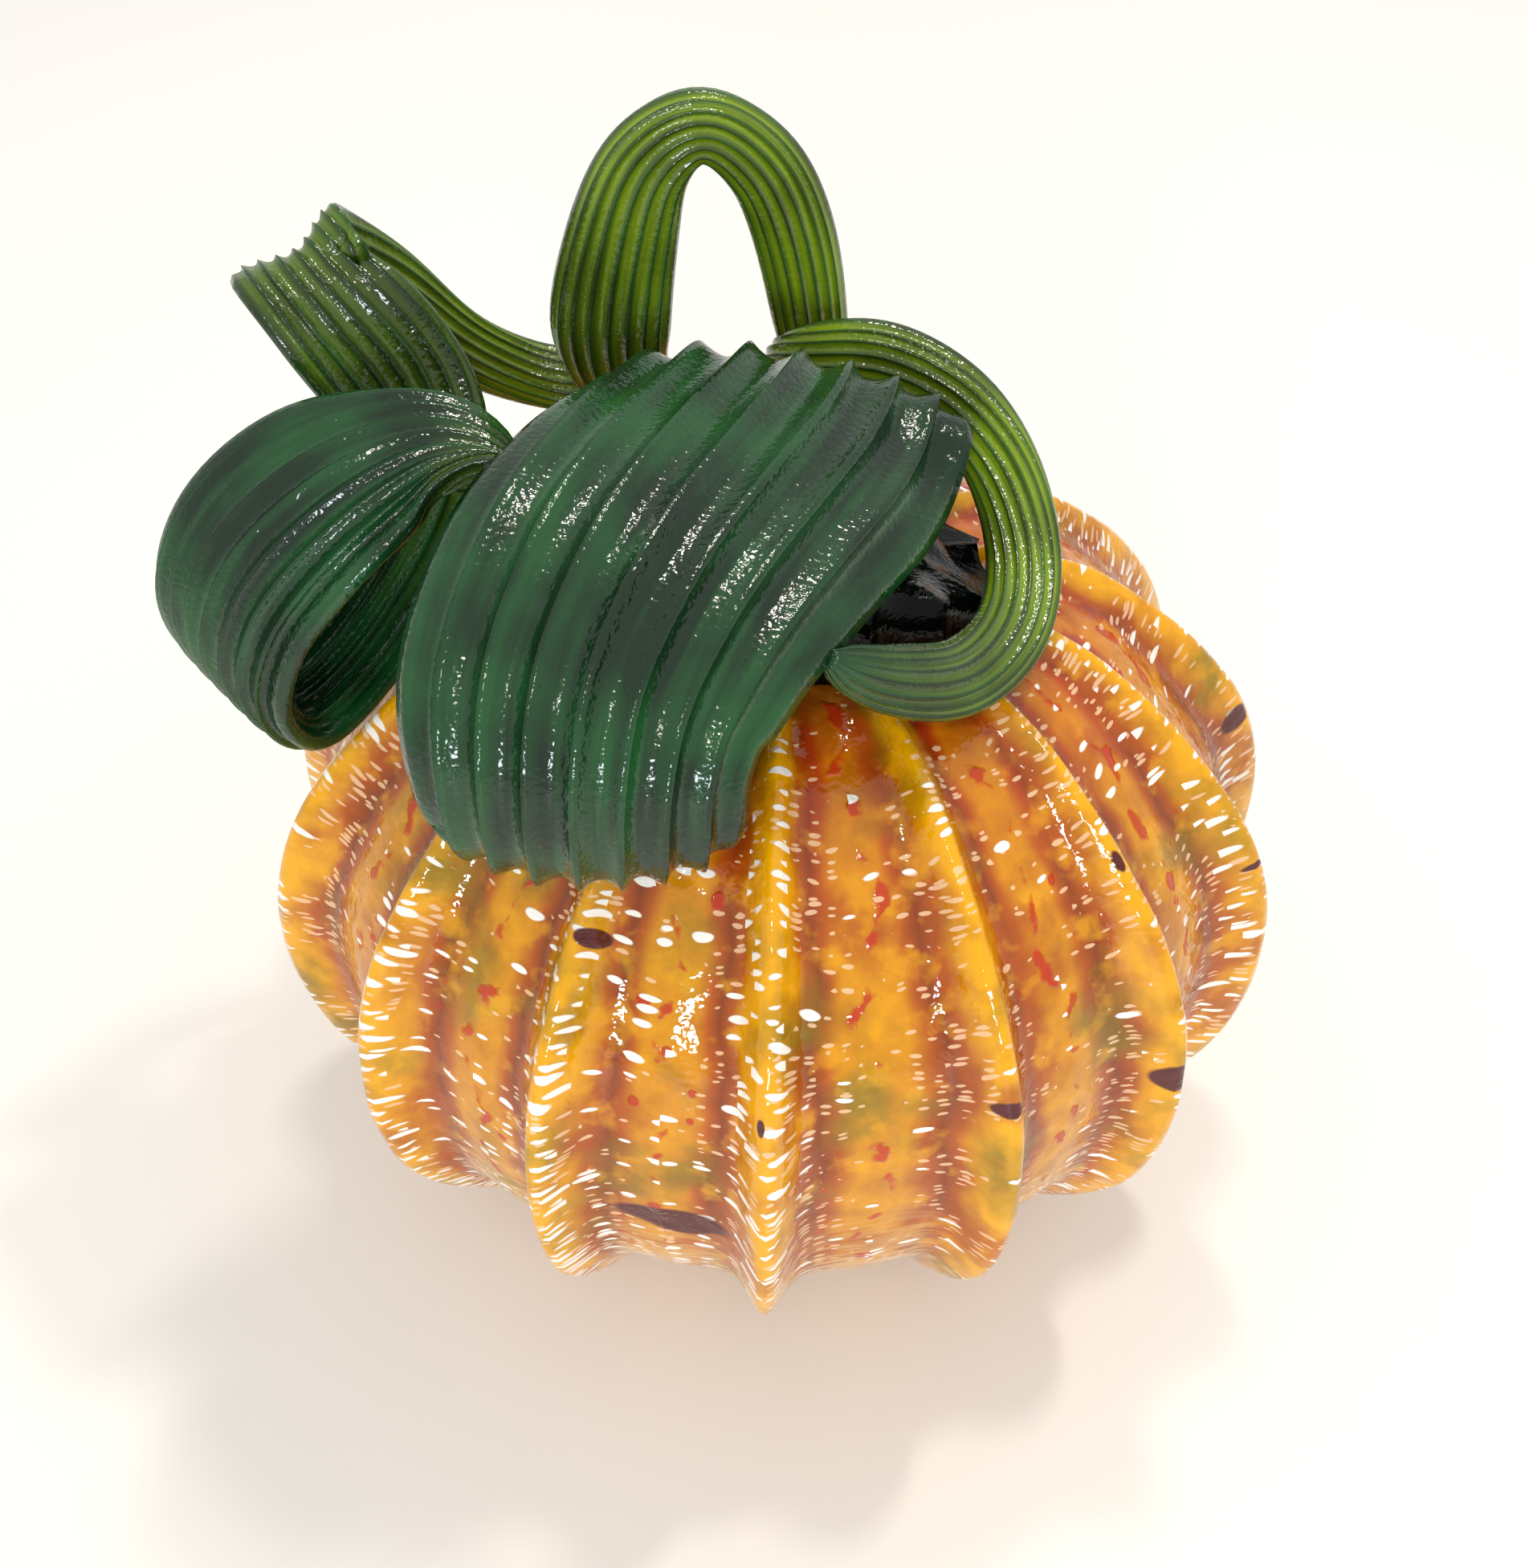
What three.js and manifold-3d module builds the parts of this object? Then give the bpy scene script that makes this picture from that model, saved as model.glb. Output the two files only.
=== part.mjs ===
// A hand-blown art-glass pumpkin: a hollow, deeply ribbed amber body, and a green ribbed glass stem
// that was dropped on hot, pulled, flattened and curled by hand. Millimetres, +Z up. The origin is the
// middle of the flat spot that the body stands on, and the front is towards -Y.
import * as THREE from 'three';
import { mergeVertices } from 'three/addons/utils/BufferGeometryUtils.js';
import Module from 'manifold-3d';

// ---- body -----------------------------------------------------------------------------------------
const FOOT_RADIUS = 24; // flat spot, ground and polished after the body was cracked off its rod
const HOLE_RADIUS = 11; // where the blowpipe was, hidden under the stem
const WALL = 4; // glass thickness behind the flutes
const FLOOR_WALL = 5; // glass thickness over the flat spot
const SEAM_GAP = 0.3; // between the body and the stem that sits on it

// The crest of a rib from the flat spot up to the shoulder of the hole: radius, height, flute depth.
const CREST = [
  [FOOT_RADIUS, 0, 0],
  [31, 0.7, 1],
  [40, 4.2, 2.3],
  [52, 14.2, 3.8],
  [60, 25, 5.6],
  [63.5, 38, 6.6],
  [63.6, 51, 6.4],
  [60.5, 62, 6],
  [54.6, 71, 5.2],
  [46, 79.5, 4],
  [36.5, 86, 2.8],
  [24, 89.6, 1.8],
  [HOLE_RADIUS, 88.6, 0.8],
];
const CREST_STEPS = 26;

// Turn of each rib from its even place, in degrees, counted from the front towards +X.
const RIB_DRIFT = [0, 1, -0.5, -1.5, -1, 1, 0, 0.5, -0.5, 1, 0, -2, 1, 1.5, 0.5];
const RIB_COUNT = RIB_DRIFT.length;
const RIB_PITCH = 360 / RIB_COUNT;

// Section of one rib: how far round from the crest, in pitches, and the share of the flute depth there.
const RIB_SECTION = [
  [0, 0],
  [0.06, 0.24],
  [0.18, 0.9],
  [0.5, 1],
  [0.82, 0.9],
  [0.94, 0.24],
];

// ---- stem -----------------------------------------------------------------------------------------
const STEM_RIBS = 16;
const STEM_RIB_DEPTH = 0.042; // of the stem's width
const STEM_STEPS = 2; // rings between two stations
const FLATTENED_POWER = 3.5; // a flattened stretch is a rounded bar, and a round one is an ellipse
const ROUND_POWER = 2;

// The stem from its seat to its tip: centre, the way its width lies, width, thickness, and how far its
// edges bend back from the middle, as a share of half its width, where they do.
const STEM = [
  // seat, spread over the shoulder of the body, and the short trunk
  [[0, -2, 84], [1, 0, 0], 54, 53],
  [[0, -2, 89.5], [1, 0, 0], 52, 50],
  [[0.5, 0, 93.5], [1, 0, 0], 36, 29],
  [[1, 1, 99.5], [1, 0, 0], 32, 17],
  [[2, 3, 105.5], [1, -0.05, -0.1], 36, 11, 0.1],
  // wide fold that falls forward over the body and turns under
  [[1.5, 1, 111.5], [1, -0.1, -0.2], 40, 8, 0.25],
  [[-1.5, -8, 113.5], [1, 0.05, -0.2], 42, 7, 0.32],
  [[-6.5, -19, 114], [1, 0.1, -0.22], 41, 6.5, 0.32],
  [[-12.5, -32, 112.5], [1, 0.1, -0.2], 39, 6.5, 0.3],
  [[-17.3, -44, 107], [1, 0.05, -0.1], 36, 6, 0.3],
  [[-18.5, -50, 98], [1, 0, -0.05], 33, 6, 0.3],
  [[-18.5, -49, 87.5], [1, 0, -0.05], 31, 5.5, 0.25],
  [[-19.5, -40.5, 86], [1, -0.1, 0], 25, 5.5, 0.1],
  [[-24, -31, 93.5], [0.9, -0.2, 0.3], 22, 5.5],
  [[-28, -20.5, 100.5], [0.8, -0.5, 0.4], 17, 6],
  // left loop
  [[-29, -12, 106.5], [0.3, -1, 0.3], 16, 6],
  [[-36.5, -9.5, 109], [0.1, -1, 0], 22, 5.5],
  [[-47, -12.5, 106], [0.4, -0.9, -0.2], 28.5, 5.5],
  [[-57, -15, 97.5], [0.55, -0.8, -0.15], 30, 5.5],
  [[-61, -16.5, 87.5], [0.65, -0.75, -0.1], 29, 5.5],
  [[-58.5, -13.5, 78.8], [0.7, -0.7, 0], 26.5, 5],
  [[-51.5, -6.5, 82], [0.8, -0.5, 0], 22.5, 5],
  [[-45, 2.5, 91], [1, -0.2, 0], 20.5, 5],
  // upper curl, folded back over itself
  [[-42.5, 9.5, 99.5], [0.9, 0.5, 0], 18, 5],
  [[-45, 12, 106], [0.8, 0.6, 0], 17.5, 5],
  [[-50.5, 12.5, 113.5], [0.7, 0.7, 0.1], 17, 4.5],
  [[-54.5, 17, 116], [0.6, 0.8, 0], 15.5, 4.5],
  [[-47.5, 25, 108.5], [0.5, 0.8, 0.3], 12.5, 4.5],
  [[-39.5, 28, 99.5], [-0.2, 0.5, 0.9], 9, 4.5],
  [[-31, 30, 94.5], [-0.1, 0.4, 0.9], 8, 5],
  [[-23, 29.5, 94], [0.3, 0.3, 0.9], 9, 5.5],
  // tall arch
  [[-18.5, 25, 97], [0.9, 0.3, 0.2], 10.5, 6],
  [[-19.5, 20, 102], [1, 0, 0], 12, 7],
  [[-20, 17.5, 109], [1, 0, 0], 14, 7],
  [[-18, 17.5, 120], [1, 0, -0.1], 12.5, 7],
  [[-15, 17.5, 128.5], [0.8, 0, -0.6], 10, 6.5],
  [[-9, 18, 132.5], [0.1, 0, -1], 8, 6],
  [[-2.5, 19.5, 127.5], [-0.7, 0, -0.6], 9, 5.5],
  [[1, 20.5, 119], [-0.9, 0, -0.2], 9.5, 5.5],
  [[3, 22, 108], [-1, 0, 0], 9, 5.5],
  // short turn behind the trunk
  [[3.5, 24, 101.5], [-1, 0, 0], 8, 5.5],
  [[0.5, 21.5, 97.5], [-0.8, -0.6, 0], 8, 5.5],
  [[-1.5, 16.5, 101.5], [-0.6, -0.6, -0.5], 8, 5.5],
  // right loop and the tip
  [[2.5, 13.5, 106.5], [-0.1, -0.2, -1], 8.5, 6],
  [[11, 12, 108], [-0.1, -0.1, -1], 9.5, 6],
  [[19.5, 8, 105.5], [-0.6, -0.1, -0.8], 9, 6],
  [[25, 1.5, 100.5], [-1, 0, -0.3], 8.5, 6],
  [[27, -8, 95.5], [-1, 0, 0.1], 8.5, 6],
  [[25, -18, 93], [-0.9, 0.2, 0.4], 8.5, 6],
  [[19, -26, 93], [-0.5, 0.3, 0.8], 8.5, 6],
  [[12, -30.5, 96.5], [-0.1, 0.3, 0.9], 7.5, 6],
  [[7, -33, 100], [0.1, 0.4, 0.9], 5, 5],
  [[5, -34, 102], [0.1, 0.4, 0.9], 2, 2],
];

// ---- closed skins from rings of points ------------------------------------------------------------
// Joins a row of equal rings, each a list of [x, y, z], and closes both ends on a middle point.
function skin(rings, firstMiddle, lastMiddle) {
  const size = rings[0].length;
  const points = [...rings.flat(), firstMiddle, lastMiddle];
  const first = points.length - 2;
  const last = points.length - 1;
  const faces = [];
  for (let row = 0; row < rings.length - 1; row++) {
    for (let i = 0; i < size; i++) {
      const next = (i + 1) % size;
      const [a, b] = [row * size + i, row * size + next];
      const [c, d] = [a + size, b + size];
      faces.push([a, b, d], [a, d, c]);
    }
  }
  const top = (rings.length - 1) * size;
  for (let i = 0; i < size; i++) {
    const next = (i + 1) % size;
    faces.push([first, next, i], [last, top + i, top + next]);
  }
  return { points, faces };
}

function toGeometry({ points, faces }) {
  const geometry = new THREE.BufferGeometry();
  geometry.setAttribute('position', new THREE.Float32BufferAttribute(points.flat(), 3));
  geometry.setIndex(faces.flat());
  return mergeVertices(geometry, 1e-4);
}

// ---- the body's skins -----------------------------------------------------------------------------
// Angles of all section points round the body, from the front towards +X, with their flute share.
function bodyAngles() {
  const crestAngle = (rib) => rib * RIB_PITCH + RIB_DRIFT[rib % RIB_COUNT];
  return RIB_DRIFT.flatMap((_, rib) =>
    RIB_SECTION.map(([along, share]) => {
      const degrees = THREE.MathUtils.lerp(crestAngle(rib), crestAngle(rib + 1), along);
      return [THREE.MathUtils.degToRad(degrees), share];
    }),
  );
}

const crestCurve = new THREE.CatmullRomCurve3(
  CREST.map((row) => new THREE.Vector3(...row)),
  false,
  'catmullrom',
);

// Rings of the outer skin, each point set back from the crest by its share of the flute depth.
function outerRings(offset) {
  const angles = bodyAngles();
  return Array.from({ length: CREST_STEPS + 1 }, (_, step) => {
    const t = step / CREST_STEPS;
    const crest = crestCurve.getPoint(t);
    const along = crestCurve.getTangent(t).setZ(0).normalize();
    const [outR, outZ] = [along.y, -along.x];
    return angles.map(([angle, share]) => {
      const shift = offset - share * crest.z;
      const radius = crest.x + shift * outR;
      const height = Math.max(crest.y + shift * outZ, -offset);
      return [radius * Math.sin(angle), -radius * Math.cos(angle), height];
    });
  });
}

// Rings of the smooth hollow inside, from the rim of the hole down to the floor.
function innerRings() {
  const rings = [];
  for (let step = CREST_STEPS; step >= 2; step -= 2) {
    const crest = crestCurve.getPoint(step / CREST_STEPS);
    const along = crestCurve.getTangent(step / CREST_STEPS).setZ(0).normalize();
    const inset = crest.z + WALL;
    const radius = Math.max(crest.x - inset * along.y, HOLE_RADIUS);
    const height = Math.max(crest.y + inset * along.x, FLOOR_WALL);
    rings.push(bodyAngles().map(([angle]) => [radius * Math.sin(angle), -radius * Math.cos(angle), height]));
  }
  return rings;
}

function bodyGeometry() {
  return toGeometry(skin([...outerRings(0), ...innerRings()], [0, 0, 0], [0, 0, FLOOR_WALL]));
}

// ---- the stem's skin ------------------------------------------------------------------------------
// One ring of the stem: evenly spread ribs with sharp tips and hollows between them.
function stemSection(halfWidth, halfThickness, bend) {
  const flatness = 1 - Math.min(halfThickness / halfWidth, 1);
  const power = THREE.MathUtils.lerp(ROUND_POWER, FLATTENED_POWER, flatness);
  const depth = STEM_RIB_DEPTH * 2 * halfWidth;
  return Array.from({ length: 2 * STEM_RIBS }, (_, i) => {
    const turn = (i / STEM_RIBS) % 2;
    const side = turn < 1 ? 1 : -1;
    const even = side * (1 - 2 * (turn % 1));
    const across = THREE.MathUtils.lerp(Math.cos(turn * Math.PI), even, flatness);
    const up = side * (1 - Math.min(Math.abs(across), 1) ** power) ** (1 / power);
    const inset = i % 2 === 0 ? 0 : depth;
    return [across * (halfWidth - inset), up * (halfThickness - inset) - bend * halfWidth * across ** 2];
  });
}

function stemSkin() {
  const curve = (pick) =>
    new THREE.CatmullRomCurve3(STEM.map((row) => new THREE.Vector3(...pick(row))), false, 'catmullrom');
  const centres = curve(([centre]) => centre);
  const widths = curve(([, way]) => way);
  const sizes = curve(([, , width, thickness, bend = 0]) => [width, thickness, bend]);
  const steps = (STEM.length - 1) * STEM_STEPS;
  const rings = Array.from({ length: steps + 1 }, (_, step) => {
    const t = step / steps;
    const centre = centres.getPoint(t);
    const along = centres.getTangent(t);
    const across = widths.getPoint(t);
    across.addScaledVector(along, -across.dot(along)).normalize();
    const out = new THREE.Vector3().crossVectors(along, across);
    const size = sizes.getPoint(t);
    return stemSection(size.x / 2, size.y / 2, size.z).map(([x, y]) =>
      centre.clone().addScaledVector(across, x).addScaledVector(out, y).toArray(),
    );
  });
  return skin(rings, centres.getPoint(0).toArray(), centres.getPoint(1).toArray());
}

// ---- the seat cut ---------------------------------------------------------------------------------
const wasm = await Module();
wasm.setup();

function toSolid(geometry) {
  return new wasm.Manifold(
    new wasm.Mesh({
      numProp: 3,
      vertProperties: new Float32Array(geometry.attributes.position.array),
      triVerts: new Uint32Array(geometry.index.array),
    }),
  );
}

function fromSolid(solid) {
  const mesh = solid.getMesh();
  const geometry = new THREE.BufferGeometry();
  geometry.setAttribute('position', new THREE.Float32BufferAttribute(mesh.vertProperties, 3));
  geometry.setIndex([...mesh.triVerts]);
  return geometry;
}

// The stem without what would reach into the body, so that its seat follows the ribs under it. The cut
// can leave slivers under the edge of the seat, so only the stem itself is kept.
function stemGeometry() {
  const rings = outerRings(SEAM_GAP);
  const topOfHole = CREST.at(-1)[1];
  const grownBody = toSolid(toGeometry(skin(rings, [0, 0, -SEAM_GAP], [0, 0, topOfHole])));
  const pieces = toSolid(toGeometry(stemSkin())).subtract(grownBody).decompose();
  pieces.sort((a, b) => b.volume() - a.volume());
  return fromSolid(pieces[0]);
}

// ---- the object -----------------------------------------------------------------------------------
const amberGlass = new THREE.MeshStandardMaterial({ color: 0xe59a1c, roughness: 0.08, metalness: 0 });
const greenGlass = new THREE.MeshStandardMaterial({ color: 0x1f5a33, roughness: 0.1, metalness: 0 });

function part(name, geometry, material) {
  const mesh = new THREE.Mesh(geometry, material);
  mesh.name = name;
  return mesh;
}

const pumpkin = new THREE.Group();
pumpkin.add(part('blown_body', bodyGeometry(), amberGlass));
pumpkin.add(part('drawn_stem', stemGeometry(), greenGlass));

export default pumpkin;
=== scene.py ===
"""A hand-blown art-glass pumpkin: a hollow ribbed amber body and a curled, ribbed green stem."""

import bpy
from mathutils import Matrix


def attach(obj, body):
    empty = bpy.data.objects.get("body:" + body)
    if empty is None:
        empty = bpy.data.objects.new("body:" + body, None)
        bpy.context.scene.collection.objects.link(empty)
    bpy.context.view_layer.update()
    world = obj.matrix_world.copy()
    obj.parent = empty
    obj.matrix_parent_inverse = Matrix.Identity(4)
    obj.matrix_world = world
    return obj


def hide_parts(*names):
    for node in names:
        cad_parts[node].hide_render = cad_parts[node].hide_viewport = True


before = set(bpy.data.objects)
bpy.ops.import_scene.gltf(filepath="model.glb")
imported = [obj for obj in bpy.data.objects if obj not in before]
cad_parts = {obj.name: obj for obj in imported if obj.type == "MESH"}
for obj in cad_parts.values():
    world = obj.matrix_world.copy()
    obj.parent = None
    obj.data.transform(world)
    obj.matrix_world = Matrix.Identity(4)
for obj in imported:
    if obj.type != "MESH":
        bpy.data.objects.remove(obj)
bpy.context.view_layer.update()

import math

import bpy
import numpy as np
from bpy.props import FloatProperty, FloatVectorProperty, IntProperty, PointerProperty
from mathutils import Matrix, Vector

bl_info = {
    "name": "Blown glass pumpkin",
    "version": (1, 0, 0),
    "blender": (4, 5, 0),
    "location": "3D View > Sidebar > Glass pumpkin",
    "description": "Builds a ribbed blown glass pumpkin with a drawn glass stem",
    "category": "Add Mesh",
}

MM = 0.001
# Corners closer than this many mm are one corner.
WELD = 0.01

# The crest of a rib from the edge of the flat spot to the pipe hole: radius, height, flute depth, in mm.
CREST = (
    (24, 0, 0),
    (31, 0.7, 1),
    (40, 4.2, 2.3),
    (52, 14.2, 3.8),
    (60, 25, 5.6),
    (63.5, 38, 6.6),
    (63.6, 51, 6.4),
    (60.5, 62, 6),
    (54.6, 71, 5.2),
    (46, 79.5, 4),
    (36.5, 86, 2.8),
    (24, 89.6, 1.8),
    (11, 88.6, 0.8),
)
# Turn of each rib from its even place, in degrees, counted from the front towards +X.
RIB_DRIFT = (0, 1, -0.5, -1.5, -1, 1, 0, 0.5, -0.5, 1, 0, -2, 1, 1.5, 0.5)
RIB_COUNT = len(RIB_DRIFT)
# The drift that a value of 1 on its curve stands for, in degrees.
DRIFT_UNIT = 10

# The share of the flute depth from the crest of a rib (0) to the middle of the valley (1).
RIB_SECTION = (
    (0, 0),
    (0.05, 0.04),
    (0.12, 0.24),
    (0.2, 0.52),
    (0.3, 0.8),
    (0.44, 0.95),
    (0.7, 1),
    (1, 0.97),
)

# How thickly each rib's crest is strewn with white frit, from the front towards +X.
FRIT_SHARE = (0.8, 0.12, 0.3, 0.85, 0.7, 0.9, 0.6, 0.8, 0.7, 0.9, 0.8, 0.7, 0.3, 0.9, 0.95)

# The dark chips: rib (a half is a valley), way along the outline from the middle underneath, half length
# round the body and half height, in mm.
CHIPS = (
    (0.97, 105, 1.7, 1.1),
    (1.98, 94.5, 2.1, 1.9),
    (1.98, 124.5, 0.6, 1.5),
    (2.97, 107, 1.3, 0.6),
    (3.93, 109.5, 1.6, 2.1),
    (14.07, 124.5, 1.7, 1.0),
    (14.97, 107.5, 0.4, 1.0),
    (14.52, 82.5, 7.5, 3.0),
    (5.98, 97, 1.9, 1.2),
    (8, 74, 1.6, 1.7),
    (10.03, 112, 1.4, 1.0),
    (11.5, 92, 2.6, 0.9),
)

# The stem from its seat to its tip: centre, the way its width lies, width, thickness, in mm, and how far
# its edges bend back from the middle, as a share of half its width, where they do.
STEM = (
    # trunk
    ((0, -2, 89.5), (1, 0, 0), 52, 50),
    ((0.5, 0, 93.5), (1, 0, 0), 36, 29),
    ((1, 1, 99.5), (1, 0, 0), 32, 17),
    ((2, 3, 105.5), (1, -0.05, -0.1), 36, 11, 0.1),
    # wide fold that falls forward over the body and turns under
    ((1.5, 1, 111.5), (1, -0.1, -0.2), 40, 8, 0.25),
    ((-1.5, -8, 113.5), (1, 0.05, -0.2), 42, 7, 0.32),
    ((-6.5, -19, 114), (1, 0.1, -0.22), 41, 6.5, 0.32),
    ((-12.5, -32, 112.5), (1, 0.1, -0.2), 39, 6.5, 0.3),
    ((-17.3, -44, 107), (1, 0.05, -0.1), 36, 6, 0.3),
    ((-18.5, -50, 98), (1, 0, -0.05), 33, 6, 0.3),
    ((-18.5, -49, 87.5), (1, 0, -0.05), 31, 5.5, 0.25),
    ((-19.5, -40.5, 86), (1, -0.1, 0), 25, 5.5, 0.1),
    ((-24, -31, 93.5), (0.9, -0.2, 0.3), 22, 5.5),
    ((-28, -20.5, 100.5), (0.8, -0.5, 0.4), 17, 6),
    # left loop
    ((-29, -12, 106.5), (0.3, -1, 0.3), 16, 6),
    ((-36.5, -9.5, 109), (0.1, -1, 0), 22, 5.5),
    ((-47, -12.5, 106), (0.4, -0.9, -0.2), 28.5, 5.5),
    ((-57, -15, 97.5), (0.55, -0.8, -0.15), 30, 5.5),
    ((-61, -16.5, 87.5), (0.65, -0.75, -0.1), 29, 5.5),
    ((-58.5, -13.5, 78.8), (0.7, -0.7, 0), 26.5, 5),
    ((-51.5, -6.5, 82), (0.8, -0.5, 0), 22.5, 5),
    ((-45, 2.5, 91), (1, -0.2, 0), 20.5, 5),
    # upper curl, folded back over itself
    ((-42.5, 9.5, 99.5), (0.9, 0.5, 0), 18, 5),
    ((-45, 12, 106), (0.8, 0.6, 0), 17.5, 5),
    ((-50.5, 12.5, 113.5), (0.7, 0.7, 0.1), 17, 4.5),
    ((-54.5, 17, 116), (0.6, 0.8, 0), 15.5, 4.5),
    ((-47.5, 25, 108.5), (0.5, 0.8, 0.3), 12.5, 4.5),
    ((-39.5, 28, 99.5), (-0.2, 0.5, 0.9), 9, 4.5),
    ((-31, 30, 94.5), (-0.1, 0.4, 0.9), 8, 5),
    ((-23, 29.5, 94), (0.3, 0.3, 0.9), 9, 5.5),
    # tall arch
    ((-18.5, 25, 97), (0.9, 0.3, 0.2), 10.5, 6),
    ((-19.5, 20, 102), (1, 0, 0), 12, 7),
    ((-20, 17.5, 109), (1, 0, 0), 14, 7),
    ((-18, 17.5, 120), (1, 0, -0.1), 12.5, 7),
    ((-15, 17.5, 128.5), (0.8, 0, -0.6), 10, 6.5),
    ((-9, 18, 132.5), (0.1, 0, -1), 8, 6),
    ((-2.5, 19.5, 127.5), (-0.7, 0, -0.6), 9, 5.5),
    ((1, 20.5, 119), (-0.9, 0, -0.2), 9.5, 5.5),
    ((3, 22, 108), (-1, 0, 0), 9, 5.5),
    # short turn behind the trunk
    ((3.5, 24, 101.5), (-1, 0, 0), 8, 5.5),
    ((0.5, 21.5, 97.5), (-0.8, -0.6, 0), 8, 5.5),
    ((-1.5, 16.5, 101.5), (-0.6, -0.6, -0.5), 8, 5.5),
    # right loop and the tip
    ((2.5, 13.5, 106.5), (-0.1, -0.2, -1), 8.5, 6),
    ((11, 12, 108), (-0.1, -0.1, -1), 9.5, 6),
    ((19.5, 8, 105.5), (-0.6, -0.1, -0.8), 9, 6),
    ((25, 1.5, 100.5), (-1, 0, -0.3), 8.5, 6),
    ((27, -8, 95.5), (-1, 0, 0.1), 8.5, 6),
    ((25, -18, 93), (-0.9, 0.2, 0.4), 8.5, 6),
    ((19, -26, 93), (-0.5, 0.3, 0.8), 8.5, 6),
    ((12, -30.5, 96.5), (-0.1, 0.3, 0.9), 7.5, 6),
    ((7, -33, 100), (0.1, 0.4, 0.9), 5, 5),
    ((5, -34, 102), (0.1, 0.4, 0.9), 2, 2),
)


# How often the stem's line and the way of its width are eased, and how blunt its flat edges are.
CENTRE_PASSES = 8
WAY_PASSES = 60
BLUNTNESS = 1.5
# Where the rows under the seat lie, as shares of the seat's own size.
SEAT_ROWS = (0.02, 0.25, 0.5, 0.75)
# Half widths in mm of a rod that no light comes through and of one that it comes through freely, between
# which the painted glow of light through thin glass grows.
OPAQUE_HALF, CLEAR_HALF = 11, 5
# The last of the stem in mm, where it turns opaque again and the painted glow fades out.
DARK_END = 35
# Half thicknesses in mm from which the glass darkens and at which it is almost black, partly thick glass
# and partly painted shade on the trunk and seat under the fold.
DARK_FROM, BLACK_FROM = 3.6, 7.6


# ---- sizes and colours that a user would change ---------------------------------------------------
def linear(hexadecimal):
    """The linear colour of an sRGB hex value such as "E8A512"."""
    channels = [int(hexadecimal[i : i + 2], 16) / 255 for i in (0, 2, 4)]
    return [c / 12.92 if c <= 0.04045 else ((c + 0.055) / 1.055) ** 2.4 for c in channels]


def length(name, description, millimetres):
    size = millimetres * MM
    return FloatProperty(name=name, description=description, default=size, unit="LENGTH", precision=5)


def angle(name, description, degrees):
    return FloatProperty(name=name, description=description, default=math.radians(degrees), subtype="ANGLE")


def colour(name, description, hexadecimal):
    tint = linear(hexadecimal)
    made = {"name": name, "description": description, "default": tint}
    return FloatVectorProperty(**made, subtype="COLOR", size=3, min=0, max=1)


class BodySettings(bpy.types.PropertyGroup):
    wall: length("Wall", "Glass thickness behind the flutes", 4)
    floor_wall: length("Floor", "Glass thickness over the flat spot", 5)
    waviness: length("Waviness", "How far the blown skin wanders in and out", 0.45)
    columns: IntProperty(name="Columns", description="Columns of faces on one rib", default=30, min=6)
    rows: IntProperty(name="Rows", description="Rows of faces up the outside", default=132, min=20)
    crest: colour("Crest", "Clear yellow glass along the crests", "F0AC02")
    gold: colour("Gold", "Golden glass in the valleys", "D89008")
    flank: colour("Flank", "Orange glass down the sides of a rib", "B4560E")
    foot: colour("Rib foot", "Brown glass where a rib meets the valley", "8A3C0C")
    olive: colour("Olive patches", "Greenish patches in the valleys", "86720E")
    cream: colour("Cream", "Pale drawn-out glass low in the valleys", "E6C07E")
    red: colour("Red streaks", "Red glass that ran down the valleys", "C02810")
    frit: colour("White frit", "White chips drawn out sideways", "FFFBF2")
    dust: colour("Pale dust", "Fine pale orange frit on the flanks", "F6CDA2")
    chip: colour("Dark chips", "Dark amethyst chips", "581C1C")


class StemSettings(bpy.types.PropertyGroup):
    ribs: IntProperty(name="Ribs", description="Ribs round the stem", default=16, min=6)
    columns: IntProperty(name="Columns", description="Columns of faces on one rib", default=10, min=4)
    rows: IntProperty(name="Rows", description="Rows of faces between two stations", default=9, min=2)
    rib_depth: FloatProperty(name="Rib depth", description="Share of the stem's width", default=0.042)
    seat_gap: length("Seat gap", "Between the body and the stem's seat", 0.3)
    deep: colour("Deep green", "Thick glass, nearly opaque", "06260F")
    bright: colour("Bright green", "Glass that light reaches", "1A5226")
    # Thick glass is darker; this near-black is also painted shade on the trunk and seat under the fold.
    core: colour("Core", "Almost black glass where the stem is thick", "030805")
    # Paler glass where the rod is drawn thin, laid on as a painted glow of light coming through it.
    thin: colour("Thin green", "Yellow-green where the rod is drawn thin", "86A010")


class StageSettings(bpy.types.PropertyGroup):
    floor: colour("Floor", "White table top", "F6F4F0")
    aim_height: length("Aim height", "Height that the camera looks at", 52.9)
    aim_side: length("Aim side", "Sideways aim of the camera", -1.3)
    distance: length("Distance", "From the camera to what it looks at", 237.1)
    elevation: angle("Elevation", "Height of the camera above level", 43.39)
    azimuth: angle("Azimuth", "Turn of the camera about +Z", 0.44)
    roll: angle("Roll", "Tilt of the camera about its own line of sight", 0.79)
    focal: FloatProperty(name="Focal length", default=42.16, unit="CAMERA", description="On a 36 mm sensor")


# ---- nodes ----------------------------------------------------------------------------------------
def node(tree, kind, inputs=None, **settings):
    """Adds one node with its settings, and links or sets its inputs. A node given as an input means its
    first output."""
    made = tree.nodes.new(kind)
    for name, value in settings.items():
        setattr(made, name, value)
    for key, value in (inputs or {}).items():
        if isinstance(value, bpy.types.Node):
            value = value.outputs[0]
        if isinstance(value, bpy.types.NodeSocket):
            tree.links.new(value, made.inputs[key])
        else:
            made.inputs[key].default_value = value
    return made


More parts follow.
